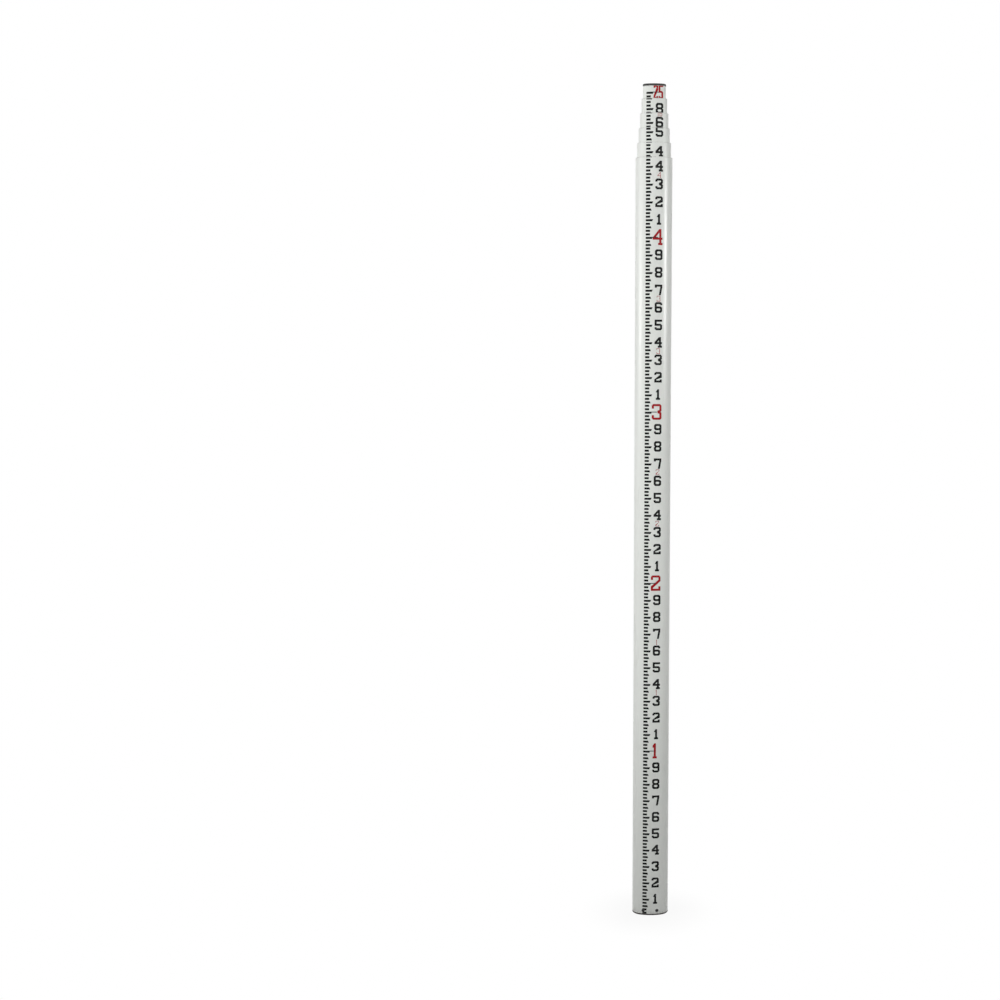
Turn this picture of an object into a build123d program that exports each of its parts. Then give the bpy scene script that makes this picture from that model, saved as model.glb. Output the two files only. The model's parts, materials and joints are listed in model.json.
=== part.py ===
from build123d import *
import math
import os

# A telescoping levelling staff of oval glass-fibre tubes, collapsed and standing.
# Millimetres. +Z runs up the staff, the graduated face looks along -Y, the lock
# buttons look along +Y, and z = 0 is the underside of the foot.

# Tubes
BASE_WIDTH = 64.8  # outside of the lowest section's oval
BASE_DEPTH = 44.0
SIDE_RADIUS = 20.0  # end arcs of that oval
WALL = 1.6
SLIDING_GAP = 0.9  # from one tube's bore to the tube inside it
TUBE_LENGTH = 1355.4
THROAT_LENGTH = 16.0  # narrower mouth that guides the tube inside

# Fits
BONDED_FIT = 0.1
SPIGOT_FLAT = 6.0  # from a bonded spigot's flat sides to the sides of its bore
RUNNING_FIT = 0.3
RIVET_FIT = 0.05
REST_GAP = 0.3  # under a plug, when the staff is collapsed

# Boot that closes the foot, riveted through the tube's front
BOOT_FLANGE = 2.5
BOOT_SPIGOT = 19.1
RIVET_OFFSET = 12.5  # either side of the middle, along the surface
RIVET_HEIGHT = 8.6
RIVET_RADIUS = 1.6
RIVET_LENGTH = 8.0  # below the tube's surface
RIVET_HEAD_RADIUS = 2.9
RIVET_HEAD = 0.9

# Plug in the foot of every sliding tube
PLUG_FLANGE = 6.0
PLUG_SPIGOT = 19.1

# Lock button, a stud on the free leg of a bent leaf spring in the plug's pocket
BUTTON_RADIUS = 3.4
BUTTON_PROUD = 0.8  # out of the outer tube, when locked
BUTTON_HOLE_FIT = 0.25
LOCK_HOLE_FIT = 0.35
SPRING_SPACE = 8.2  # from the button's inner end to the floor of the pocket
SPRING_WIDTH = 8.4
SPRING_THICKNESS = 0.6
SPRING_SEAT = 0.2
SPRING_HEIGHT = 10.0
POCKET_FIT = 0.6  # round the spring

# Lock holes in the back, below the rims of the tubes from the lowest one up
LOCK_HOLE_DEPTHS = (126.8, 105.4, 87.0, 64.5, 68.7)

# Rain cap on the top tube
CAP_FLANGE = 3.5
CAP_LIP = 0.4
CAP_SPIGOT = 15.0

TOP = len(LOCK_HOLE_DEPTHS) + 1  # number of the smallest section; the base is 1
PLUG_HEIGHT = PLUG_FLANGE + PLUG_SPIGOT
CUT = 4.0  # how far a cutting tool runs past a face


def inset(section):
    """How far a section's outline lies inside the base section's."""
    return (section - 1) * (WALL + SLIDING_GAP)


def bore(section):
    return inset(section) + WALL


def half_depth(section):
    return BASE_DEPTH / 2 - inset(section)


def face_radius():
    """Radius of the base oval's front and back arcs, tangent to the end arcs."""
    offset = BASE_WIDTH / 2 - SIDE_RADIUS
    depth = BASE_DEPTH / 2
    return (offset**2 + depth**2 - SIDE_RADIUS**2) / (2 * (depth - SIDE_RADIUS))


def plug_bottom(section):
    """A plug stands on the boot, or on the plug of the tube outside its own."""
    return BOOT_FLANGE + BOOT_SPIGOT + REST_GAP + (section - 2) * (PLUG_HEIGHT + REST_GAP)


def tube_bottom(section):
    return BOOT_FLANGE if section == 1 else plug_bottom(section) + PLUG_FLANGE


def tube_length(section):
    """The top tube is shorter by its cap, so that the collapsed steps are even."""
    return TUBE_LENGTH - CAP_FLANGE if section == TOP else TUBE_LENGTH


def rim(section):
    return tube_bottom(section) + tube_length(section)


def button_height(section):
    return tube_bottom(section) + PLUG_SPIGOT / 2


def button_tip(section):
    """While the staff is collapsed, the tube outside holds the button in."""
    return half_depth(section) + SLIDING_GAP - RUNNING_FIT


def button_length():
    """Through the button's own tube and the tube outside it, and a little further."""
    return SPRING_THICKNESS + 2 * WALL + SLIDING_GAP + BUTTON_PROUD


def pocket_floor(section):
    return button_tip(section) - button_length() - SPRING_SPACE


def lock_hole_height(section):
    return rim(section) - LOCK_HOLE_DEPTHS[section - 1]


def travel(section):
    """A section slides out until its button meets the hole in the tube outside it."""
    return lock_hole_height(section - 1) - button_height(section)


def oval(inward):
    """The base section's four-arc oval, moved in by the same amount all round."""
    width = BASE_WIDTH / 2 - inward
    depth = BASE_DEPTH / 2 - inward
    side = SIDE_RADIUS - inward
    front = face_radius() - inward
    reach = front / (front - side)
    x = (width - side) * reach
    y = depth - front + (front - depth) * reach
    return make_face(
        [
            ThreePointArc((-x, -y), (0, -depth), (x, -y)),
            ThreePointArc((x, -y), (width, 0), (x, y)),
            ThreePointArc((x, y), (0, depth), (-x, y)),
            ThreePointArc((-x, y), (-width, 0), (-x, -y)),
        ]
    )


def prism(inward, bottom, height):
    return Pos(0, 0, bottom) * extrude(oval(inward), height)


def stud(radius, start, end, height):
    """A round bar from y = start to y = end."""
    middle = (start + end) / 2
    return Pos(0, middle, height) * Rot(90, 0, 0) * Cylinder(radius, end - start)


def on_rivets(tool):
    """Two copies of a tool that is made along the y axis, with y = 0 on the base tube's front."""
    lean = math.degrees(RIVET_OFFSET / face_radius())
    centre = Pos(0, face_radius() - half_depth(1), RIVET_HEIGHT)
    surface = Pos(0, -face_radius(), 0)
    return [centre * Rot(0, 0, side) * surface * tool for side in (-lean, lean)]


def rivet():
    return stud(RIVET_RADIUS, 0, RIVET_LENGTH, 0) + stud(RIVET_HEAD_RADIUS, -RIVET_HEAD, 0, 0)


def rivet_hole():
    return stud(RIVET_RADIUS + RIVET_FIT, -CUT, RIVET_LENGTH + RIVET_FIT, 0)


def spigot(section, bottom, height):
    """Bonded into a tube's end. Its flat sides let water past."""
    width = BASE_WIDTH - 2 * (bore(section) + SPIGOT_FLAT)
    outline = oval(bore(section) + BONDED_FIT) & Rectangle(width, BASE_DEPTH)
    return Pos(0, 0, bottom) * extrude(outline, height)


def boot():
    solid = prism(0, 0, BOOT_FLANGE) + spigot(1, BOOT_FLANGE, BOOT_SPIGOT)
    for hole in on_rivets(rivet_hole()):
        solid -= hole
    return solid


def tube(section):
    bottom = tube_bottom(section)
    back = half_depth(section)
    outline = oval(inset(section)) - oval(bore(section))
    solid = Pos(0, 0, bottom) * extrude(outline, tube_length(section))
    if section < TOP:
        throat = oval(inset(section)) - oval(inset(section + 1) - RUNNING_FIT)
        solid += Pos(0, 0, rim(section) - THROAT_LENGTH) * extrude(throat, THROAT_LENGTH)
        radius = BUTTON_RADIUS + LOCK_HOLE_FIT
        solid -= stud(radius, back - CUT, back + CUT, lock_hole_height(section))
    if section > 1:
        radius = BUTTON_RADIUS + BUTTON_HOLE_FIT
        solid -= stud(radius, back - CUT, back + CUT, button_height(section))
        return solid
    for hole in on_rivets(rivet_hole()):
        solid -= hole
    return solid


def guide_plug(section):
    """A flange that runs in the tube outside, and a spigot in the plug's own tube."""
    solid = prism(inset(section) - SLIDING_GAP + RUNNING_FIT, plug_bottom(section), PLUG_FLANGE)
    solid += spigot(section, tube_bottom(section), PLUG_SPIGOT)
    pocket = Box(
        SPRING_WIDTH + 2 * POCKET_FIT,
        half_depth(section) - pocket_floor(section),
        SPRING_HEIGHT + 2 * POCKET_FIT,
        align=(Align.CENTER, Align.MIN, Align.CENTER),
    )
    return solid - Pos(0, pocket_floor(section), button_height(section)) * pocket


def lock_button(section):
    tip = button_tip(section)
    return stud(BUTTON_RADIUS, tip - button_length(), tip, button_height(section))


def lock_spring(section):
    """A strip bent to a U: one leg lies on the pocket's floor, the other carries the button."""
    near = SPRING_SEAT + SPRING_THICKNESS / 2
    far = SPRING_SPACE - near
    top = SPRING_HEIGHT / 2
    bend = (far - near) / 2
    start = bend + SPRING_THICKNESS / 2 - top
    line = Wire(
        [
            Line((near, top), (near, start)),
            ThreePointArc((near, start), (near + bend, start - bend), (far, start)),
            Line((far, start), (far, top)),
        ]
    )
    strip = Plane.YZ * extrude(trace(line, SPRING_THICKNESS), SPRING_WIDTH / 2, both=True)
    return Pos(0, pocket_floor(section), button_height(section)) * strip


def rain_cap():
    flange = prism(inset(TOP) - CAP_LIP, rim(TOP), CAP_FLANGE)
    return flange + spigot(TOP, rim(TOP) - CAP_SPIGOT, CAP_SPIGOT)


nodes = {
    "base_tube": tube(1),
    "base_boot": boot(),
    "boot_rivets": Compound(children=on_rivets(rivet())),
}
for number in range(2, TOP + 1):
    nodes[f"section_{number}_tube"] = tube(number)
    nodes[f"guide_plug_{number}"] = guide_plug(number)
    nodes[f"lock_button_{number}"] = lock_button(number)
    nodes[f"lock_spring_{number}"] = lock_spring(number)
nodes["rain_cap"] = rain_cap()

os.makedirs("parts", exist_ok=True)
for name, solid in nodes.items():
    export_step(solid, f"parts/{name}.step")
for number in range(2, TOP + 1):
    print(f"section {number}: slides {travel(number):.1f} mm, rim at {rim(number):.1f} mm")
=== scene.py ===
import functools
import json
import math
from collections import namedtuple

import bmesh
import bpy
from mathutils import Matrix, Vector
from mathutils.geometry import tessellate_polygon


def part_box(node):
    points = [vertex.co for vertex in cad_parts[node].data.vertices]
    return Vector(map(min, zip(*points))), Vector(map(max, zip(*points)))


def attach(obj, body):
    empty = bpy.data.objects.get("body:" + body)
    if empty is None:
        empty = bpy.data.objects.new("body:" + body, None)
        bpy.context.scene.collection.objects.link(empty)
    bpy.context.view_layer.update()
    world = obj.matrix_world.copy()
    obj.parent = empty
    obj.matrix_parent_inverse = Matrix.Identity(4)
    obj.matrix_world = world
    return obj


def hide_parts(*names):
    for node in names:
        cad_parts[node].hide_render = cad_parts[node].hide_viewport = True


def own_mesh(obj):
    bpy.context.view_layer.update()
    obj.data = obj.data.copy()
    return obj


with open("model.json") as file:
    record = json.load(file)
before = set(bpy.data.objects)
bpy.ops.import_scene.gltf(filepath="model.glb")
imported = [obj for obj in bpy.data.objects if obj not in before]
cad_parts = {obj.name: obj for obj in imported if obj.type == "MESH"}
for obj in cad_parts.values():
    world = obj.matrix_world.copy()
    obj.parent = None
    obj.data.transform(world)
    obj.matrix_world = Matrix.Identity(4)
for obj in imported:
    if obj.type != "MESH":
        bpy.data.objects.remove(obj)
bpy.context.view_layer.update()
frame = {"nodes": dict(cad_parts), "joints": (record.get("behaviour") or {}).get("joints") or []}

# A telescoping levelling staff. Metres, +Z up the staff, the graduated face along -Y.
MM = 0.001
SECTIONS = range(1, 7)  # from the base up
TOP = SECTIONS[-1]

# Four-arc oval of the tubes. The boot's flange has the outline of the base tube.
BOOT_LOW, BOOT_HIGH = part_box("base_boot")
BASE_WIDTH = BOOT_HIGH[0] - BOOT_LOW[0]
BASE_DEPTH = BOOT_HIGH[1] - BOOT_LOW[1]
SIDE_RADIUS = 20.0 * MM
WALL = 1.6 * MM
NESTING = 2.5 * MM  # from one section's surface to the surface of the next
THROAT_LENGTH = 16.0 * MM
RUNNING_FIT = 0.3 * MM
BONDED_FIT = 0.1 * MM
FACE_STEPS = 28
SIDE_STEPS = 20

# Rounded edges
EDGE = 0.5 * MM  # rims, spigots and the boot's sole
FINE_EDGE = 0.2 * MM  # tubes' feet, seats and buttons
CAP_EDGE = 1.0 * MM
EDGE_STEPS = 4
SMOOTH_ANGLE = math.radians(32)  # what bends more is a sharp edge

# Scuffs on the tubes: their lengths at the ends, and how strong they are
WORN_RIM = 2.0 * MM
WORN_FOOT = 8.0 * MM
END_WEAR = 1.0
HOLE_WEAR = 0.8

# Holes for the lock buttons, in the back
BUTTON_HOLE_FIT = 0.25 * MM
LOCK_HOLE_FIT = 0.35 * MM
HOLE_EDGE = 0.3 * MM
HOLE_PATCH = 6.2 * MM  # half the height of the finer mesh round a hole
HOLE_ROWS = 5  # heights of that mesh
HOLE_COLUMNS = 5  # its columns either side of the middle

# Rivets, lock buttons and leaf springs
RIVET_OFFSET = 12.5 * MM  # either side of the middle, along the surface
RIVET_RADIUS = 1.6 * MM
RIVET_LENGTH = 8.0 * MM
RIVET_HEAD_RADIUS = 2.9 * MM
RIVET_HEAD = 0.9 * MM
RIVET_BRIM = 0.25 * MM
RIVET_SINK = 0.03 * MM
BUTTON_DOME = 0.8 * MM
SPRING_THICKNESS = 0.6 * MM
TURN_STEPS = 32
DOME_STEPS = 8
BEND_STEPS = 16

# Printed graduation in feet. Lengths across it start at the left edge of its bars.
FOOT = 304.8 * MM
UNITS_PER_FOOT = 100
UNITS_PER_TENTH = 10
UNIT = FOOT / UNITS_PER_FOOT
SCALE_END = 25  # feet, the last number; there are no bars above it
PRINT_LEFT = -14.0 * MM  # from the middle of the face
BLACK_INK_HEIGHT = 0.06 * MM  # black lies over red
RED_INK_HEIGHT = 0.05 * MM
INK_SINK = 0.03 * MM
INK_SPREAD = 0.3 * MM  # past each edge of a bar, lengthways
INK_STRIP = 2.0 * MM  # widest flat strip of ink on the curve
CUT_MARGIN = 0.0001 * MM  # points this near to a cut lie on it
BAR = 7.7 * MM
TENTH_TIP = 12.9 * MM  # a slanted end runs from its heel to its tip
TENTH_HEEL = 11.4 * MM
HALF_TIP = 10.2 * MM
HALF_HEEL = 8.9 * MM
FOOT_LINE = 21.5 * MM  # end of the thin line into a foot's number
FOOT_LINE_HEIGHT = 1.35 * MM

# Cells of the numbers, by how many digits they hold
Cell = namedtuple("Cell", "left width height stroke")
TENTH_CELLS = {1: Cell(16.5 * MM, 13.4 * MM, 6.1 * UNIT, 1.2 * UNIT)}
FOOT_CELLS = {
    1: Cell(12.4 * MM, 17.3 * MM, 9.1 * UNIT, 1.25 * UNIT),
    2: Cell(12.5 * MM, 17.0 * MM, 7.8 * UNIT, 1.05 * UNIT),
}
SMALL_CELLS = {
    1: Cell(20.1 * MM, 6.2 * MM, 3.2 * UNIT, 0.27 * UNIT),
    2: Cell(18.6 * MM, 9.2 * MM, 3.2 * UNIT, 0.25 * UNIT),
}
SMALL_READINGS = (0.35, 0.65)  # feet past a mark, where its number is repeated
PAIR_GAP = 0.04  # between two digits, as a part of the cell's width

# Proportions of the numerals
CORNER_CUT = 0.68  # of the stroke
COUNTER_CUT = 0.3  # of the stroke
WAIST_NOTCH = 0.45  # of the stroke
HOOK = 0.29  # of the height
HOOK_LIMIT = 0.6  # of the width


def tube_node(section):
    return "base_tube" if section == 1 else f"section_{section}_tube"


def body(section):
    return "base" if section == 1 else f"section_{section}"


def inset(section):
    return (section - 1) * NESTING


def bottom(section):
    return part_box(tube_node(section))[0][2]


def rim(section):
    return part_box(tube_node(section))[1][2]


def button_height(section):
    low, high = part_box(f"lock_button_{section}")
    return (low[2] + high[2]) / 2


def button_radius(section):
    low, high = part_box(f"lock_button_{section}")
    return (high[0] - low[0]) / 2


TRAVEL = {joint["child"]: joint["range_m"][1] for joint in frame["joints"]}


def reach(section):
    """How far a section rises when the whole staff is drawn out."""
    return sum(TRAVEL[body(number)] for number in range(2, section + 1))


# The oval

HALF_GAP = BASE_WIDTH / 2 - SIDE_RADIUS
HALF_DEPTH = BASE_DEPTH / 2
FACE_RADIUS = (HALF_GAP**2 + HALF_DEPTH**2 - SIDE_RADIUS**2) / (2 * (HALF_DEPTH - SIDE_RADIUS))
CENTRE = FACE_RADIUS - HALF_DEPTH
LEAN = math.atan2(HALF_GAP, CENTRE)
QUARTER = math.pi / 2


def arc(x, y, radius, start, end, steps):
    """Columns on one arc of the oval, each with the arc's centre and radius, and an angle."""
    return [(x, y, radius, start + (end - start) * i / steps) for i in range(steps)]


# From the middle of the front round to the middle of the front again
COLUMNS = (
    arc(0, CENTRE, FACE_RADIUS, -QUARTER, LEAN - QUARTER, FACE_STEPS // 2)
    + arc(HALF_GAP, 0, SIDE_RADIUS, LEAN - QUARTER, QUARTER - LEAN, SIDE_STEPS)
    + arc(0, -CENTRE, FACE_RADIUS, QUARTER - LEAN, QUARTER + LEAN, FACE_STEPS)
    + arc(-HALF_GAP, 0, SIDE_RADIUS, QUARTER + LEAN, 3 * QUARTER - LEAN, SIDE_STEPS)
    + arc(0, CENTRE, FACE_RADIUS, 3 * QUARTER - LEAN, 3 * QUARTER, FACE_STEPS // 2)
)
BACK = len(COLUMNS) // 2
HOLE_GAP = range(BACK - HOLE_COLUMNS, BACK + HOLE_COLUMNS)  # columns left open for a hole


def on_oval(column, inward):
    x, y, radius, angle = column
    radius -= inward
    return x + radius * math.cos(angle), y + radius * math.sin(angle)


def on_face(section, along, height, proud):
    """A point of a section's front, by the distance along the surface from its middle."""
    radius = FACE_RADIUS - inset(section)
    angle = along / radius
    radius += proud
    return radius * math.sin(angle), CENTRE - radius * math.cos(angle), height


# Meshes

INWARD, OUTWARD = 1, -1
ABOVE, BELOW = 1, -1


def mesh_of(bm, name):
    bmesh.ops.recalc_face_normals(bm, faces=bm.faces)
    mesh = bpy.data.meshes.new(name)
    bm.to_mesh(mesh)
    bm.free()
    return mesh


def corner(inward, height, level, upright, radius):
    """A rounded edge of a profile, from its upright face to its level one."""
    points = []
    for i in range(EDGE_STEPS + 1):
        angle = QUARTER * i / EDGE_STEPS
        across = level * radius * (1 - math.cos(angle))
        points.append((inward + across, height + upright * radius * (1 - math.sin(angle))))
    return points


def rings_of(bm, profile):
    return [
        [bm.verts.new((*on_oval(column, inward), height)) for column in COLUMNS]
        for inward, height in profile
    ]


def join_rings(bm, first, second, skip=()):
    for i in range(len(first)):
        if i not in skip:
            j = (i + 1) % len(first)
            bm.faces.new((first[i], first[j], second[j], second[i]))


def solid_of(name, profile):
    """A closed solid from rings of the oval, flat at both ends."""
    bm = bmesh.new()
    rings = rings_of(bm, profile)
    for first, second in zip(rings, rings[1:]):
        join_rings(bm, first, second)
    bm.faces.new(rings[0])
    bm.faces.new(rings[-1])
    return mesh_of(bm, name)


def turned(bm, profile, place):
    """A solid of revolution from (radius, height) points that start and end on the axis."""
    rings = []
    for radius, height in profile:
        ring = []
        for i in range(TURN_STEPS if radius else 1):
            angle = math.tau * i / TURN_STEPS
            point = Vector((radius * math.cos(angle), radius * math.sin(angle), height))
            ring.append(bm.verts.new(place @ point))
        rings.append(ring)
    for first, second in zip(rings, rings[1:]):
        if len(first) == len(second):
            join_rings(bm, first, second)
            continue
        (tip,), ring = sorted((first, second), key=len)
        for i in range(TURN_STEPS):
            bm.faces.new((tip, ring[i], ring[(i + 1) % TURN_STEPS]))


def dome(radius, low, high):
    """Points of a domed top, from its edge to the axis."""
    points = []
    for i in range(DOME_STEPS):
        angle = QUARTER * i / DOME_STEPS
        points.append((radius * math.cos(angle), low + (high - low) * math.sin(angle)))
    return points + [(0, high)]


# Tubes


def hole_rows(height):
    half = HOLE_ROWS // 2
    return [height + HOLE_PATCH * i / half for i in range(-half, half + 1)]


def patch_edge(rings):
    """The vertices round a gap in the back of a tube, anticlockwise from its lower corner."""
    rings = sorted(rings, key=lambda ring: ring[0].co.z)
    left, right = HOLE_GAP.stop, HOLE_GAP.start
    edge = [rings[0][i] for i in range(left, right, -1)]
    edge += [ring[right] for ring in rings[:-1]]
    edge += [rings[-1][i] for i in range(right, left)]
    edge += [ring[left] for ring in reversed(rings[1:])]
    return edge


def hole_ring(bm, edge, height, radius, inward, sunk):
    """A ring of vertices round a hole, one for each vertex round its gap."""
    ring = []
    for vertex in edge:
        angle = math.atan2(vertex.co.z - height, vertex.co.x)
        x = radius * math.cos(angle)
        y = math.sqrt((FACE_RADIUS - inward) ** 2 - x**2) - CENTRE - sunk
        ring.append(bm.verts.new((x, y, height + radius * math.sin(angle))))
    return ring


def holes_of(section):
    """The (height, radius) of the holes in a tube's back: its own button's, and the next one's."""
    holes = []
    if section > 1:
        holes.append((button_height(section), button_radius(section) + BUTTON_HOLE_FIT))
    if section < TOP:
        lock = button_height(section + 1) + TRAVEL[body(section + 1)]
        holes.append((lock, button_radius(section + 1) + LOCK_HOLE_FIT))
    return holes


def scuff(bm, vertices, amount):
    wear = bm.verts.layers.float["wear"]
    for vertex in vertices:
        vertex[wear] = amount


def line_hole(bm, section, hole, outside, inside):
    """Joins the gaps in a tube's outside and bore by a round hole with a chamfered edge."""
    height, radius = hole
    outer = inset(section)
    edge = patch_edge(outside)
    lip = hole_ring(bm, edge, height, radius + HOLE_EDGE, outer, 0)
    neck = hole_ring(bm, edge, height, radius, outer, HOLE_EDGE)
    back = hole_ring(bm, edge, height, radius, outer + WALL, 0)
    scuff(bm, lip + neck, HOLE_WEAR)
    loops = [edge, lip, neck, back, patch_edge(inside)]
    for first, second in zip(loops, loops[1:]):
        join_rings(bm, first, second)


def tube_profile(section, outer_rows, inner_rows):
    """The outline of a tube's wall: up its outside, over its rim and down its bore."""
    outer = inset(section)
    inner = outer + WALL
    mouth = inner if section == TOP else outer + NESTING - RUNNING_FIT
    low, high = bottom(section), rim(section)
    profile = corner(outer, low, INWARD, ABOVE, FINE_EDGE)[::-1]
    profile += [(outer, row) for row in outer_rows]
    profile += corner(outer, high, INWARD, BELOW, EDGE)
    profile += corner(mouth, high, OUTWARD, BELOW, EDGE)[::-1]
    if section != TOP:
        profile += [(mouth, high - THROAT_LENGTH), (inner, high - THROAT_LENGTH)]
    profile += [(inner, row) for row in inner_rows]
    profile += corner(inner, low, OUTWARD, ABOVE, FINE_EDGE)
    return profile


def tube_mesh(section):
    """A tube with a rounded rim, a narrower mouth, and holes in its back."""
    outer = inset(section)
    inner = outer + WALL
    holes = holes_of(section)
    rows = sorted(row for height, radius in holes for row in hole_rows(height))
    worn_foot = bottom(section) + (WORN_FOOT if section == 1 else WORN_RIM)
    worn_rim = rim(section) - WORN_RIM
    profile = tube_profile(section, [worn_foot, *rows, worn_rim], rows[::-1])

    bm = bmesh.new()
    bm.verts.layers.float.new("wear")
    rings = rings_of(bm, profile)
    for (inward, height), ring in zip(profile, rings):
        if height > worn_rim or (section == 1 and height < worn_foot):
            scuff(bm, ring, END_WEAR)

    gaps = set()
    patches = []
    for height, radius in holes:
        span = hole_rows(height)
        patch = []
        for corner_point in ((outer, span[0]), (inner, span[-1])):
            start = profile.index(corner_point)
            gaps.update(range(start, start + HOLE_ROWS - 1))
            patch.append(rings[start:start + HOLE_ROWS])
        patches.append(patch)
    for i, ring in enumerate(rings):
        join_rings(bm, ring, rings[(i + 1) % len(rings)], HOLE_GAP if i in gaps else ())
    for hole, (outside, inside) in zip(holes, patches):
        line_hole(bm, section, hole, outside, inside)
    return mesh_of(bm, tube_node(section))


# Boot, cap, rivets, buttons and springs


def boot_mesh():
    low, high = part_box("base_boot")
    seat = bottom(1)
    spigot = WALL + BONDED_FIT
    profile = corner(0, low[2], INWARD, ABOVE, EDGE)[::-1]
    profile += corner(0, seat, INWARD, BELOW, FINE_EDGE)
    profile += [(spigot, seat)]
    profile += corner(spigot, high[2], INWARD, BELOW, EDGE)
    return solid_of("foot_boot", profile)


def cap_mesh():
    low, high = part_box("rain_cap")
    seat = rim(TOP)
    spigot = inset(TOP) + WALL + BONDED_FIT
    lip = (BASE_WIDTH - (high[0] - low[0])) / 2
    profile = corner(spigot, low[2], INWARD, ABOVE, EDGE)[::-1]
    profile += [(spigot, seat)]
    profile += corner(lip, seat, INWARD, ABOVE, FINE_EDGE)[::-1]
    profile += corner(lip, high[2], INWARD, BELOW, CAP_EDGE)
    return solid_of("rain_cap_moulding", profile)


def rivet_mesh():
    low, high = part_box("boot_rivets")
    height = (low[2] + high[2]) / 2
    profile = [(0, -RIVET_LENGTH), (RIVET_RADIUS, -RIVET_LENGTH), (RIVET_RADIUS, -RIVET_SINK)]
    profile += [(RIVET_HEAD_RADIUS, -RIVET_SINK)]
    profile += dome(RIVET_HEAD_RADIUS, RIVET_BRIM, RIVET_HEAD)
    bm = bmesh.new()
    for along in (-RIVET_OFFSET, RIVET_OFFSET):
        turn = Matrix.Rotation(along / FACE_RADIUS, 4, "Z") @ Matrix.Rotation(QUARTER, 4, "X")
        turned(bm, profile, Matrix.Translation(on_face(1, along, height, 0)) @ turn)
    return mesh_of(bm, "boot_rivet_heads")


def button_mesh(section):
    low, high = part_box(f"lock_button_{section}")
    length = high[1] - low[1]
    radius = button_radius(section)
    profile = [(0, 0), (radius - FINE_EDGE, 0), (radius, FINE_EDGE)]
    profile += dome(radius, length - BUTTON_DOME, length)
    place = Matrix.Translation((0, low[1], button_height(section)))
    bm = bmesh.new()
    turned(bm, profile, place @ Matrix.Rotation(-QUARTER, 4, "X"))
    return mesh_of(bm, f"lock_button_{section}_stud")


def spring_mesh(section):
    """A flat strip bent to a U."""
    low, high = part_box(f"lock_spring_{section}")
    outer = (high[1] - low[1]) / 2
    middle = (high[1] + low[1]) / 2
    turn = low[2] + outer
    lines = []
    for radius in (outer, outer - SPRING_THICKNESS):
        line = [(middle - radius, high[2])]
        for i in range(BEND_STEPS + 1):
            angle = math.pi * (1 + i / BEND_STEPS)
            line.append((middle + radius * math.cos(angle), turn + radius * math.sin(angle)))
        line.append((middle + radius, high[2]))
        lines.append(line)
    bm = bmesh.new()
    left, right = [
        [[bm.verts.new((x, y, z)) for y, z in line] for line in lines]
        for x in (low[0], high[0])
    ]
    edges = [left[0], right[0], right[1], left[1]]
    for first, second in zip(edges, edges[1:] + edges[:1]):
        for i in range(len(first) - 1):
            bm.faces.new((first[i], first[i + 1], second[i + 1], second[i]))
    for end in (0, -1):
        bm.faces.new([edge[end] for edge in edges])
    return mesh_of(bm, f"lock_spring_{section}_strip")


# Numerals


def cut_box(left, low, right, high, cut):
    return [
        (left + cut, low), (right - cut, low), (right, low + cut), (right, high - cut),
        (right - cut, high), (left + cut, high), (left, high - cut), (left, low + cut),
    ]


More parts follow.
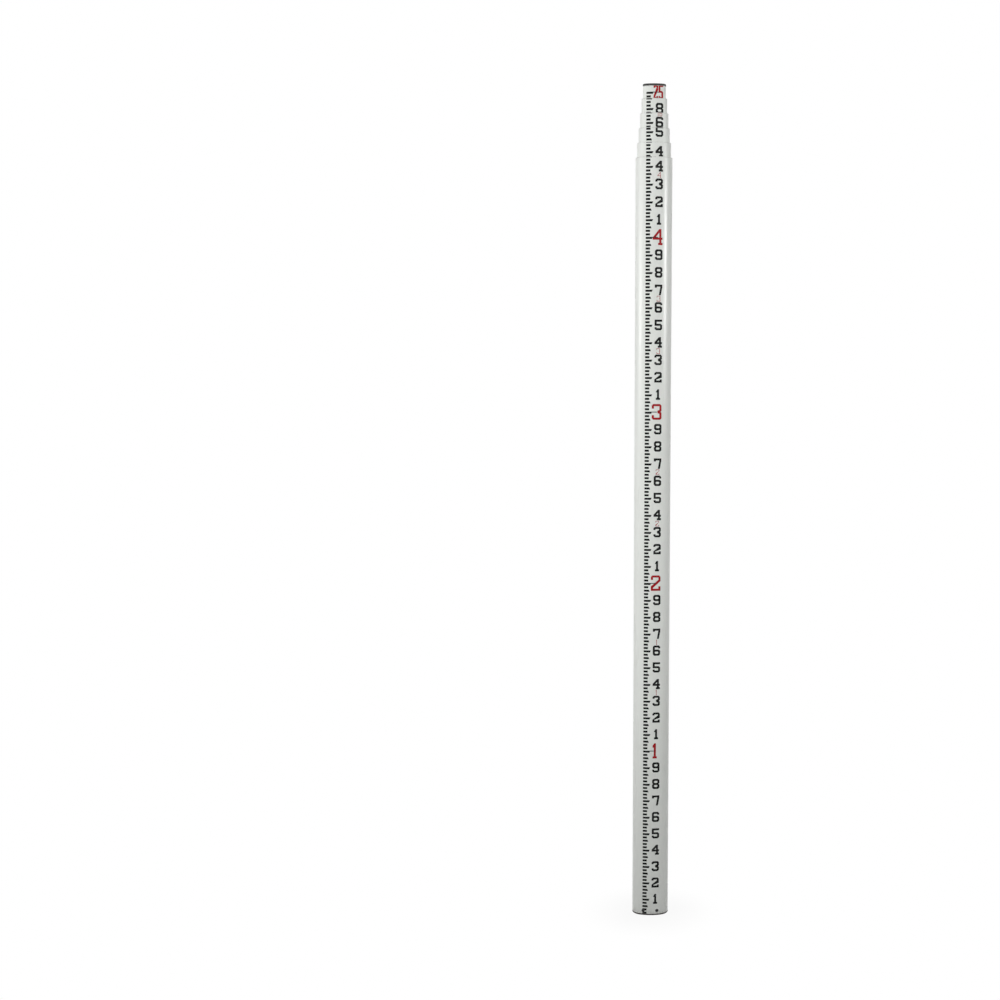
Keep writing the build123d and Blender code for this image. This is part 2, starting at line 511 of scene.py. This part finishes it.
def numerals(right, top, pen):
    """The ten squared digits that fill a cell, each as its outline and then its counters."""
    cut = CORNER_CUT * pen
    nick = COUNTER_CUT * pen
    notch = WAIST_NOTCH * pen
    hook = min(HOOK * top, HOOK_LIMIT * right)
    far, roof = right - pen, top - pen
    middle = top / 2
    over, under = middle + pen / 2, middle - pen / 2

    zero = [cut_box(0, 0, right, top, cut), cut_box(pen, pen, far, roof, nick)]

    stem = right / 2 - 0.48 * pen
    heel, toe = right / 2 - 1.04 * pen, right / 2 + 1.04 * pen
    sole, instep = 0.88 * pen, 1.05 * pen
    flag, slant = top - 1.2 * pen, 0.2 * pen
    one = [[
        (stem + slant, top), (stem + pen, top), (stem + pen, instep), (toe, sole), (toe, 0), (heel, 0),
        (heel, sole), (stem, instep), (stem, top - hook), (heel, top - hook), (heel, flag),
    ]]

    shoulder, knee = top - 2.7 * pen, 1.42 * pen
    two = [[
        (0, top - hook), (0, top - cut), (cut, top), (right - cut, top), (right, top - cut),
        (right, shoulder), (pen, knee), (pen, pen), (far, pen), (far, hook), (right, hook), (right, 0),
        (0, 0), (0, hook), (far, top - hook), (far, roof), (pen, roof), (pen, top - hook),
    ]]

    spur = 0.95 * pen
    three = [[
        (0, top - cut), (cut, top), (right - cut, top), (right, top - cut), (right, middle + notch),
        (right - notch, middle), (right, middle - notch), (right, cut), (right - cut, 0), (cut, 0),
        (0, cut), (0, hook), (pen, hook), (pen, pen), (far, pen), (far, middle - spur),
        (far - spur, under), (far - spur, over), (far, middle + spur), (far, roof), (pen, roof),
        (pen, top - hook), (0, top - hook),
    ]]

    serif = 0.52 * pen
    stem = right - serif - pen
    ledge = 0.335 * top
    shelf = ledge + pen
    slope = (top - shelf) / stem
    tip = top - pen * math.hypot(1, slope)
    four = [
        [
            (stem, top), (stem + pen, top), (stem + pen, shelf), (right, shelf), (right, ledge),
            (stem + pen, ledge), (stem + pen, pen), (right, pen), (right, 0), (stem - serif, 0),
            (stem - serif, pen), (stem, pen), (stem, ledge), (0, ledge), (0, shelf),
        ],
        [(stem, tip), (stem - (tip - shelf) / slope, shelf), (stem, shelf)],
    ]

    bowl = middle + 0.58 * pen
    five = [[
        (0, top), (right, top), (right, roof), (pen, roof), (pen, bowl), (right - cut, bowl),
        (right, bowl - cut), (right, cut), (right - cut, 0), (cut, 0), (0, cut), (0, hook), (pen, hook),
        (pen, pen), (far, pen), (far, bowl - pen), (0, bowl - pen),
    ]]

    six = [
        [
            (0, top - cut), (cut, top), (right - cut, top), (right, top - cut), (right, top - hook),
            (far, top - hook), (far, roof), (pen, roof), (pen, over), (right - cut, over),
            (right, over - cut), (right, cut), (right - cut, 0), (cut, 0), (0, cut),
        ],
        cut_box(pen, pen, far, under, nick),
    ]

    foot, brow = 0.53 * right, top - 1.3 * pen
    seven = [[
        (0, top), (right, top), (right, brow), (foot + pen, 0), (foot, 0), (far, roof), (pen, roof),
        (pen, top - hook), (0, top - hook),
    ]]

    eight = [
        [
            (cut, top), (right - cut, top), (right, top - cut), (right, middle + notch),
            (right - notch, middle), (right, middle - notch), (right, cut), (right - cut, 0), (cut, 0),
            (0, cut), (0, middle - notch), (notch, middle), (0, middle + notch), (0, top - cut),
        ],
        cut_box(pen, over, far, roof, nick),
        cut_box(pen, pen, far, under, nick),
    ]

    nine = [[(right - x, top - y) for x, y in outline] for outline in six]
    return zero, one, two, three, four, five, six, seven, eight, nine


# Print


def lists_of(bm):
    """The points and faces of a flat figure, which is then freed."""
    bm.normal_update()
    bmesh.ops.reverse_faces(bm, faces=[face for face in bm.faces if face.normal.z < 0])
    bm.verts.index_update()
    points = [(vertex.co.x, vertex.co.y) for vertex in bm.verts]
    faces = [[vertex.index for vertex in face.verts] for face in bm.faces]
    bm.free()
    return points, faces


def split(bm, place, direction, **clear):
    whole = bm.verts[:] + bm.edges[:] + bm.faces[:]
    plane = {"plane_co": place, "plane_no": direction, "dist": CUT_MARGIN}
    bmesh.ops.bisect_plane(bm, geom=whole, **plane, **clear)


def figure(outlines):
    """A flat figure as points and faces, in strips narrow enough to follow the curve."""
    bm = bmesh.new()
    loops = [[Vector((x, y, 0)) for x, y in outline] for outline in outlines]
    vertices = [bm.verts.new(point) for loop in loops for point in loop]
    for triangle in tessellate_polygon(loops):
        bm.faces.new([vertices[i] for i in triangle])
    left = min(vertex.co.x for vertex in vertices)
    right = max(vertex.co.x for vertex in vertices)
    for i in range(math.ceil(left / INK_STRIP), math.floor(right / INK_STRIP) + 1):
        split(bm, (i * INK_STRIP, 0, 0), (1, 0, 0))
    return lists_of(bm)


def trimmed(shape, high):
    """A figure without what lies above a height."""
    points, faces = shape
    bm = bmesh.new()
    vertices = [bm.verts.new((x, y, 0)) for x, y in points]
    for face in faces:
        bm.faces.new([vertices[i] for i in face])
    split(bm, (0, high, 0), (0, 1, 0), clear_outer=True)
    return lists_of(bm)


@functools.cache
def digit_figure(digit, width, height, stroke):
    return figure(numerals(width, height, stroke)[digit])


BAR_LOW, BAR_HIGH = -INK_SPREAD, UNIT + INK_SPREAD


def bar_figure(tip_low, tip_high):
    return figure([[(0, BAR_LOW), (tip_low, BAR_LOW), (tip_high, BAR_HIGH), (0, BAR_HIGH)]])


def foot_figure():
    """A tenth's bar with a thin line drawn on to the number."""
    low = BAR_HIGH - FOOT_LINE_HEIGHT
    start = TENTH_HEEL + (TENTH_TIP - TENTH_HEEL) * (low - BAR_LOW) / (BAR_HIGH - BAR_LOW)
    return figure([[
        (0, BAR_LOW), (TENTH_HEEL, BAR_LOW), (start, low), (FOOT_LINE, low), (FOOT_LINE, BAR_HIGH),
        (0, BAR_HIGH),
    ]])


PLAIN_BAR = bar_figure(BAR, BAR)
HALF_BAR = bar_figure(HALF_TIP, HALF_HEEL)
TENTH_BAR = bar_figure(TENTH_HEEL, TENTH_TIP)
FOOT_BAR = foot_figure()


def bar_from(mark):
    """The bar that starts at a mark. Tenths and feet are read at the top of their bars."""
    if (mark + 1) % UNITS_PER_FOOT == 0:
        return FOOT_BAR
    if (mark + 1) % UNITS_PER_TENTH == 0:
        return TENTH_BAR
    return HALF_BAR if mark % UNITS_PER_TENTH == UNITS_PER_TENTH // 2 else PLAIN_BAR


class Ink:
    """Thin closed patches of ink on one section's front, between two heights."""

    def __init__(self, section, low, high, proud):
        self.section = section
        self.low = low
        self.high = high
        self.proud = proud
        self.points = []
        self.faces = []

    def stamp(self, shape, left, height):
        """Adds a figure that starts between the two heights, cut off at the upper one."""
        heights = [y for x, y in shape[0]]
        if height + min(heights) < self.low or height + min(heights) >= self.high:
            return
        if height + max(heights) > self.high:
            shape = trimmed(shape, self.high - height)
        points, faces = shape
        start, count = len(self.points), len(points)
        for proud in (self.proud, -INK_SINK):
            for x, y in points:
                place = on_face(self.section, PRINT_LEFT + left + x, height + y, proud)
                self.points.append(place)
        for face in faces:
            self.faces.append([start + i for i in face])
            self.faces.append([start + count + i for i in reversed(face)])
        edges = [edge for face in faces for edge in zip(face, face[1:] + face[:1])]
        shared = {(b, a) for a, b in edges}
        for a, b in edges:
            if (a, b) not in shared:
                self.faces.append([start + count + a, start + count + b, start + b, start + a])

    def number(self, value, cells, height):
        """Stamps a number about a height, in the cell for as many digits as it has."""
        digits = [int(letter) for letter in str(value)]
        cell = cells[len(digits)]
        gap = PAIR_GAP * cell.width
        width = (cell.width - gap * (len(digits) - 1)) / len(digits)
        for i, digit in enumerate(digits):
            shape = digit_figure(digit, width, cell.height, cell.stroke)
            self.stamp(shape, cell.left + i * (width + gap), height - cell.height / 2)

    def mesh(self, name):
        mesh = bpy.data.meshes.new(name)
        mesh.from_pydata(self.points, [], self.faces)
        return mesh


def print_section(section):
    """The graduation of one section: bars, tenths and feet, read from the foot of the staff."""
    low = bottom(section) + FINE_EDGE
    if section > 1:
        low = rim(section - 1) - TRAVEL[body(section)] - THROAT_LENGTH
    high = rim(section) - EDGE
    rise = reach(section)
    black = Ink(section, low, high, BLACK_INK_HEIGHT)
    red = Ink(section, low, high, RED_INK_HEIGHT)
    first = int((low + rise) / UNIT) - 1
    last = int((high + rise) / UNIT) + UNITS_PER_TENTH
    for mark in range(first, last):
        height = mark * UNIT - rise
        if mark % 2 == 1 and mark < SCALE_END * UNITS_PER_FOOT:
            black.stamp(bar_from(mark), 0, height)
        elif mark > 0 and mark % UNITS_PER_FOOT == 0:
            red.number(mark // UNITS_PER_FOOT, FOOT_CELLS, height)
        elif mark > 0 and mark % UNITS_PER_TENTH == 0:
            black.number(mark % UNITS_PER_FOOT // UNITS_PER_TENTH, TENTH_CELLS, height)
    for foot in range(max(1, first // UNITS_PER_FOOT), last // UNITS_PER_FOOT + 1):
        for part in SMALL_READINGS:
            red.number(foot, SMALL_CELLS, (foot + part) * FOOT - rise)
    return black, red


# Materials


class Tree:
    """A shader tree, with short ways to add nodes to it."""

    def __init__(self, owner):
        owner.use_nodes = True
        self.nodes = owner.node_tree.nodes
        self.links = owner.node_tree.links

    def feed(self, node, inputs):
        """Links outputs of other nodes, or sets plain values, by an input's name or place."""
        for key, value in inputs.items():
            if isinstance(value, bpy.types.NodeSocket):
                self.links.new(value, node.inputs[key])
            else:
                node.inputs[key].default_value = value

    def add(self, kind, inputs):
        node = self.nodes.new(f"ShaderNode{kind}")
        self.feed(node, inputs)
        return node

    def joined(self, operation, first, second):
        node = self.add("Math", {0: first, 1: second})
        node.operation = operation
        return node.outputs["Value"]

    def spread(self, value, low, high, start=0.3, end=0.7, kind="LINEAR"):
        """A value between start and end, spread from low to high."""
        limits = {"From Min": start, "From Max": end, "To Min": low, "To Max": high}
        node = self.add("MapRange", {"Value": value, **limits})
        node.interpolation_type = kind
        return node.outputs["Result"]

    def background_rays(self):
        """1 for rays that see the white background: the camera's, and those in gloss and glass."""
        path = self.add("LightPath", {}).outputs
        seen = path["Is Camera Ray"]
        for kind in ("Is Glossy Ray", "Is Transmission Ray"):
            seen = self.joined("MAXIMUM", seen, path[kind])
        return seen


class Surface(Tree):
    """A material with one Principled shader."""

    def __init__(self, name):
        self.material = bpy.data.materials.new(name)
        super().__init__(self.material)
        self.place = self.add("TexCoord", {}).outputs["Object"]

    def noise(self, scale, detail=4.0, rough=0.55):
        """Noise with its own scale along each axis, per metre."""
        place = self.add("Mapping", {"Vector": self.place, "Scale": scale}).outputs["Vector"]
        grain = {"Vector": place, "Scale": 1.0, "Detail": detail, "Roughness": rough}
        return self.add("TexNoise", grain).outputs["Fac"]

    def shades(self, value, first, second, start=0.3, end=0.7):
        node = self.add("ValToRGB", {"Fac": value})
        ramp = node.color_ramp.elements
        ramp[0].position, ramp[1].position = start, end
        ramp[0].color, ramp[1].color = (*first, 1), (*second, 1)
        return node.outputs["Color"]

    def mixed(self, factor, first, second):
        """Two colours mixed. The node's sockets are found by place, as their names repeat."""
        node = self.add("Mix", {})
        node.data_type = "RGBA"
        self.feed(node, {0: factor, 6: first, 7: second})
        return node.outputs[2]

    def bump(self, height, strength, distance):
        relief = {"Height": height, "Strength": strength, "Distance": distance}
        return self.add("Bump", relief).outputs["Normal"]

    def attribute(self, name):
        node = self.add("Attribute", {})
        node.attribute_name = name
        return node.outputs["Fac"]

    def shaded(self, inputs):
        """The material, once its shader's inputs are set or linked."""
        self.feed(self.nodes["Principled BSDF"], inputs)
        return self.material


def fibreglass():
    """White glass fibre: faint lengthways fibres under a satin coat, scuffed at the edges."""
    surface = Surface("white_fibreglass")
    fibres = surface.noise((1400, 1400, 30), detail=5.0, rough=0.6)
    clouds = surface.noise((28, 28, 5), detail=3.0)
    plain = surface.shades(clouds, (0.785, 0.804, 0.769), (0.822, 0.841, 0.805))
    streaks = surface.shades(fibres, (0.765, 0.784, 0.749), (0.836, 0.854, 0.819))
    share = surface.spread(surface.noise((160, 160, 12)), low=0.25, high=0.65)
    clean = surface.mixed(share, plain, streaks)
    grit = surface.noise((520, 520, 260), detail=6.0, rough=0.7)
    scuffs = surface.spread(grit, low=0.0, high=1.0, start=0.44, end=0.62)
    worn = surface.joined("MULTIPLY", surface.attribute("wear"), scuffs)
    grime = surface.shades(clouds, (0.50, 0.50, 0.47), (0.60, 0.60, 0.57))
    return surface.shaded({
        "Base Color": surface.mixed(worn, clean, grime),
        "Roughness": surface.spread(surface.noise((90, 90, 14), detail=5.0), low=0.25, high=0.35),
        "Specular IOR Level": 0.4,
        "Coat Weight": 0.08,
        "Coat Roughness": 0.25,
        "Normal": surface.bump(fibres, strength=0.12, distance=0.2 * MM),
    })


def ink(name, full, thin):
    """Screen-printed ink, a little thinner in places."""
    surface = Surface(name)
    grain = surface.noise((700, 700, 700), detail=5.0, rough=0.65)
    return surface.shaded({
        "Base Color": surface.shades(grain, full, thin, start=0.45, end=0.8),
        "Roughness": surface.spread(surface.noise((240, 240, 240)), low=0.42, high=0.6),
        "Specular IOR Level": 0.12,
        "Normal": surface.bump(grain, strength=0.15, distance=0.05 * MM),
    })


def moulded(name, dark, pale, smooth, rough):
    """Moulded plastic or rubber with a fine grain and pale scuffs."""
    surface = Surface(name)
    grain = surface.noise((1100, 1100, 1100), detail=5.0, rough=0.6)
    scuffs = surface.noise((130, 130, 260), detail=6.0, rough=0.72)
    return surface.shaded({
        "Base Color": surface.shades(scuffs, dark, pale, start=0.48, end=0.78),
        "Roughness": surface.spread(scuffs, low=smooth, high=rough),
        "Specular IOR Level": 0.3,
        "Normal": surface.bump(grain, strength=0.3, distance=0.1 * MM),
    })


def metal(name, dark, pale, smooth, rough):
    """Bare metal, dulled, with fine scratches."""
    surface = Surface(name)
    scratches = surface.noise((2600, 2600, 300), detail=5.0, rough=0.65)
    dull = surface.noise((420, 420, 420))
    return surface.shaded({
        "Base Color": surface.shades(dull, dark, pale),
        "Roughness": surface.spread(dull, low=smooth, high=rough),
        "Metallic": 1.0,
        "Normal": surface.bump(scratches, strength=0.2, distance=0.05 * MM),
    })


FIBREGLASS = fibreglass()
BLACK_INK = ink("black_ink", (0.006, 0.0065, 0.006), (0.032, 0.034, 0.032))
RED_INK = ink("red_ink", (0.36, 0.008, 0.012), (0.46, 0.030, 0.034))
BOOT_PLASTIC = moulded("boot_plastic", (0.036, 0.027, 0.027), (0.10, 0.085, 0.085), 0.5, 0.75)
PLUG_PLASTIC = moulded("plug_plastic", (0.06, 0.06, 0.065), (0.16, 0.16, 0.17), 0.45, 0.7)
CAP_RUBBER = moulded("cap_rubber", (0.035, 0.034, 0.033), (0.11, 0.105, 0.10), 0.6, 0.85)
BLACKENED = moulded("blackened_rivet", (0.020, 0.020, 0.021), (0.09, 0.09, 0.09), 0.4, 0.6)
STEEL = metal("spring_steel", (0.42, 0.42, 0.43), (0.60, 0.60, 0.61), 0.22, 0.40)


# Pieces


def placed(name, data):
    """A new object in the scene."""
    obj = bpy.data.objects.new(name, data)
    bpy.context.scene.collection.objects.link(obj)
    return obj


def piece(name, mesh, material, ride_on, stands_for=None):
    """An object that rides on a body, with its material, and may stand for a CAD node."""
    for polygon in mesh.polygons:
        polygon.use_smooth = True
    mesh.set_sharp_from_angle(angle=SMOOTH_ANGLE)
    mesh.materials.append(material)
    obj = placed(name, mesh)
    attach(obj, ride_on)
    if stands_for:
        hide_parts(stands_for)
    return obj


for section in SECTIONS:
    tube = tube_node(section)
    piece(f"{tube}_shell", tube_mesh(section), FIBREGLASS, body(section), tube)
    black, red = print_section(section)
    piece(f"black_scale_{section}", black.mesh(f"black_scale_{section}"), BLACK_INK, body(section))
    piece(f"red_scale_{section}", red.mesh(f"red_scale_{section}"), RED_INK, body(section))

piece("foot_boot", boot_mesh(), BOOT_PLASTIC, "base", "base_boot")
piece("boot_rivet_heads", rivet_mesh(), BLACKENED, "base", "boot_rivets")
piece("rain_cap_moulding", cap_mesh(), CAP_RUBBER, body(TOP), "rain_cap")

for section in SECTIONS[1:]:
    button = f"lock_button_{section}"
    spring = f"lock_spring_{section}"
    piece(f"{button}_stud", button_mesh(section), STEEL, f"button_{section}", button)
    strip = piece(f"{spring}_strip", spring_mesh(section), STEEL, body(section), spring)
    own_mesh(strip)
    plug = frame["nodes"][f"guide_plug_{section}"]
    plug.data.materials.clear()
    plug.data.materials.append(PLUG_PLASTIC)


# Floor and background

WHITE = (1, 1, 1, 1)
GREY = (0.45, 0.45, 0.45, 1)
FLOOR_HALF = 6.0
# A painted shadow round the staff: near it the floor shows some of its grey matte, by distance alone
SHADE_START = 0.02
SHADE_END = 0.14  # from here on the floor is plain white
SHADE_WHITE = 0.92  # how white it is at the staff, where the painted shadow is darkest
AMBIENT = 0.22


def floor_mesh():
    mesh = bpy.data.meshes.new("floor")
    corners = [(-1, -1), (1, -1), (1, 1), (-1, 1)]
    points = [(x * FLOOR_HALF, y * FLOOR_HALF, 0) for x, y in corners]
    mesh.from_pydata(points, [], [range(len(points))])
    return mesh


def floor_material():
    """Grey for bounced light, and white for the rays that see it, but near the staff a painted shadow:
    some grey matte shows there whatever the light, with the staff's own faint shadow on it.
    """
    material = bpy.data.materials.new("floor")
    tree = Tree(material)
    tree.nodes.clear()
    grey = tree.add("BsdfDiffuse", {"Color": GREY}).outputs["BSDF"]
    white = tree.add("Emission", {"Color": WHITE, "Strength": 1.0}).outputs["Emission"]
    length = tree.add("VectorMath", {0: tree.add("TexCoord", {}).outputs["Object"]})
    length.operation = "LENGTH"
    away = length.outputs["Value"]
    # Painted shadow: the floor's white share falls towards the staff by distance, not by light
    painted_shadow_fade = tree.spread(away, SHADE_WHITE, 1.0, SHADE_START, SHADE_END, kind="SMOOTHSTEP")
    share = tree.joined("MULTIPLY", painted_shadow_fade, tree.background_rays())
    blend = tree.add("MixShader", {0: share, 1: grey, 2: white}).outputs["Shader"]
    tree.add("OutputMaterial", {"Surface": blend})
    return material


def studio_world():
    """Dim light from all round, and plain white for the rays that see the background."""
    world = bpy.data.worlds.new("studio")
    tree = Tree(world)
    tree.nodes.clear()
    dim = tree.add("Background", {"Color": WHITE, "Strength": AMBIENT}).outputs["Background"]
    white = tree.add("Background", {"Color": WHITE, "Strength": 1.0}).outputs["Background"]
    blend = tree.add("MixShader", {0: tree.background_rays(), 1: dim, 2: white}).outputs["Shader"]
    tree.add("OutputWorld", {"Surface": blend})
    return world


floor = placed("floor", floor_mesh())
floor.data.materials.append(floor_material())
bpy.context.scene.world = studio_world()


# Lamps, with watts for their power

# Tall ones stand round the staff, from near its foot to past its top when it is drawn out
TALL_FOOT = 0.18
TALL_HEIGHT = 8.0
TALL_WIDTH = 0.436
TALL_DISTANCE = 0.65


def lamp(name, place, aim, width, height, power, shading=True, sheen=True):
    light = bpy.data.lights.new(name, "AREA")
    light.shape = "RECTANGLE"
    light.size = width
    light.size_y = height
    light.energy = power
    obj = placed(name, light)
    obj.location = place
    obj.rotation_euler = (Vector(aim) - Vector(place)).to_track_quat("-Z", "Y").to_euler()
    obj.visible_camera = False
    obj.visible_diffuse = shading
    obj.visible_glossy = sheen


def tall_lamp(name, bearing, power):
    """A lamp that shades and doesn't show in gloss. Its bearing is in degrees, from the front."""
    angle = math.radians(bearing)
    middle = TALL_FOOT + TALL_HEIGHT / 2
    place = (TALL_DISTANCE * math.sin(angle), -TALL_DISTANCE * math.cos(angle), middle)
    lamp(name, place, (0, 0, middle), TALL_WIDTH, TALL_HEIGHT, power, sheen=False)


tall_lamp("key", bearing=-77, power=20.6)
tall_lamp("fill", bearing=15, power=18.6)
tall_lamp("back", bearing=155, power=23.0)

# Two more show only in gloss, as streaks near the top
lamp("left_strip", (-1.19, -0.63, 1.19), (0, 0, 1.10), width=0.7, height=0.4, power=7.2, shading=False)
lamp("right_strip", (1.16, -0.94, 1.32), (0, 0, 1.15), width=0.55, height=0.4, power=14.6, shading=False)


# Camera, with its lens and sensor in millimetres

CAMERA_PLACE = (0, -2.383, 0.950)
CAMERA_PITCH = math.radians(4.64)  # below the level
CAMERA_ROLL = math.radians(0.31)
SENSOR = 36.0
LENS = 48.06
LENS_SHIFT = -0.1522

camera = bpy.data.cameras.new("camera")
camera.sensor_width = SENSOR
camera.lens = LENS
camera.shift_x = LENS_SHIFT
camera_object = placed("camera", camera)
tilt = Matrix.Rotation(QUARTER - CAMERA_PITCH, 4, "X")
roll = Matrix.Rotation(CAMERA_ROLL, 4, "Z")
camera_object.matrix_world = Matrix.Translation(CAMERA_PLACE) @ tilt @ roll
bpy.context.scene.camera = camera_object
bpy.context.scene.view_settings.view_transform = "Standard"
